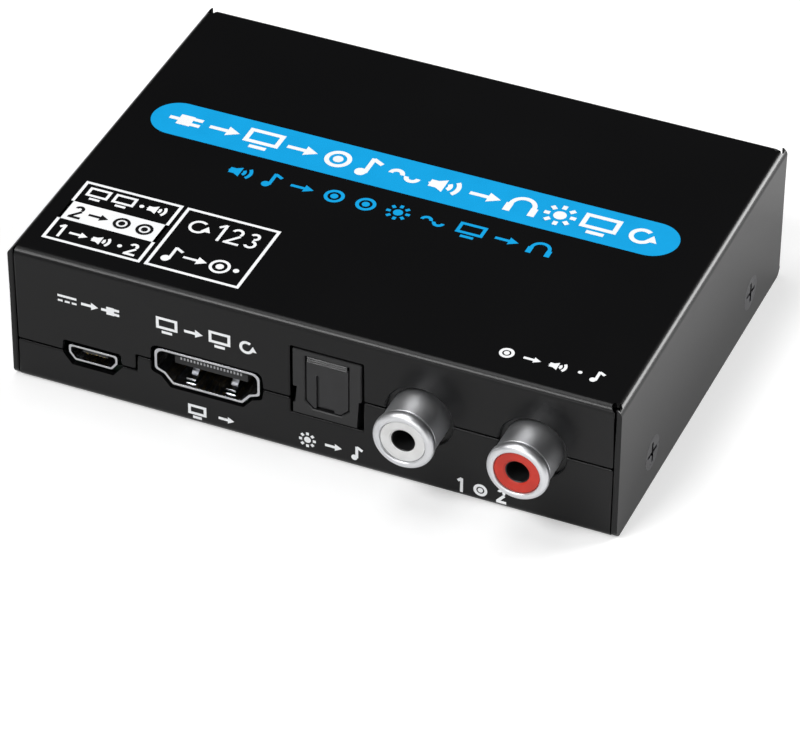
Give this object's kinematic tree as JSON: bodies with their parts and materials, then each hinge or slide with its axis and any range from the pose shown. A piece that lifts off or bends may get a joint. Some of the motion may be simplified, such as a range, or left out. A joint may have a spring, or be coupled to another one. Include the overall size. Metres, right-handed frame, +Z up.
{
  "type": "hdmi audio extractor",
  "caption": "Black folded-metal box that splits sound from a digital video signal, with video, optical, phono and headphone sockets and two slide switches.",
  "frame": {"origin": "centre of the underside of the case, on the surface that it stands on", "axes": "+X to the right along the front panel, -Y out of the front panel with the phono sockets, +Z up"},
  "size_m": [0.09, 0.074, 0.022],
  "materials": {
    "case_paint": "satin powder-like black enamel on folded steel",
    "fastener_zinc": "zinc plate",
    "screw_black": "black oxide",
    "board_laminate": "green solder mask",
    "socket_nickel": "bright nickel plate",
    "barrel_chrome": "polished nickel plate",
    "contact_gold": "flash gold plate",
    "socket_plastic": "moulded black nylon",
    "shutter_plastic": "moulded black acetal",
    "insert_white": "moulded white",
    "insert_red": "moulded red",
    "lever_plastic": "moulded black",
    "switch_steel": "tin plate",
    "base_laminate": "brown paper laminate",
    "spring_steel": "drawn wire",
    "lamp_resin": "clear resin",
    "chip_resin": "moulded epoxy",
    "lead_tin": "matte tin",
    "sink_aluminium": "plain extruded",
    "can_aluminium": "drawn",
    "ferrite": "moulded ferrite",
    "part_ceramic": "fired ceramic"
  },
  "bodies": {
    "case": {"top_cover": "case_paint", "base_tray": "case_paint", "cover_screws": "screw_black", "board_standoffs": "fastener_zinc", "board_screws": "fastener_zinc", "circuit_board": "board_laminate", "power_inlet_shell": "socket_nickel", "power_inlet_tongue": "socket_plastic", "power_inlet_contacts": "contact_gold", "video_out_shell": "socket_nickel", "video_out_insulator": "socket_plastic", "video_out_contacts": "contact_gold", "video_in_shell": "socket_nickel", "video_in_insulator": "socket_plastic", "video_in_contacts": "contact_gold", "optical_housing": "socket_plastic", "optical_shutter_spring": "spring_steel", "optical_transmitter": "chip_resin", "phono_housing": "socket_plastic", "phono_left_barrel": "barrel_chrome", "phono_right_barrel": "barrel_chrome", "phono_left_insert": "insert_white", "phono_right_insert": "insert_red", "phono_left_contact": "contact_gold", "phono_right_contact": "contact_gold", "audio_jack_body": "socket_plastic", "audio_jack_bushing": "socket_plastic", "audio_jack_contacts": "contact_gold", "two_way_switch_frame": "switch_steel", "two_way_switch_base": "base_laminate", "two_way_switch_pins": "lead_tin", "three_way_switch_frame": "switch_steel", "three_way_switch_base": "base_laminate", "three_way_switch_pins": "lead_tin", "lamp_holders": "socket_plastic", "lamp_lenses": "lamp_resin", "video_processor": "chip_resin", "heat_sink": "sink_aluminium", "audio_converter": "chip_resin", "audio_converter_leads": "lead_tin", "microcontroller": "chip_resin", "microcontroller_leads": "lead_tin", "crystals": "lead_tin", "filter_capacitor_cans": "can_aluminium", "filter_capacitor_bases": "socket_plastic", "power_inductor": "ferrite", "voltage_regulators": "chip_resin", "ceramic_parts": "part_ceramic", "pin_header": "socket_plastic"},
    "two_way_lever": {"two_way_switch_slider": "lever_plastic", "two_way_switch_contact": "contact_gold"},
    "three_way_lever": {"three_way_switch_slider": "lever_plastic", "three_way_switch_contact": "contact_gold"},
    "shutter": {"optical_shutter": "shutter_plastic"}
  },
  "joints": [
    {"name": "two_way_slide", "type": "slide", "parent": "case", "child": "two_way_lever", "axis": [1, 0, 0], "range_m": [0, 0.0024]},
    {"name": "three_way_slide", "type": "slide", "parent": "case", "child": "three_way_lever", "axis": [1, 0, 0], "range_m": [0, 0.004]},
    {"name": "shutter_hinge", "type": "hinge", "parent": "case", "child": "shutter", "pos_m": [0.0027, -0.0307, 0.01635], "axis": [1, 0, 0], "range_deg": [0, 80], "stiffness_Nm_per_rad": 0.0002, "springref_deg": -85.94, "deforming": ["optical_shutter_spring"]}
  ]
}
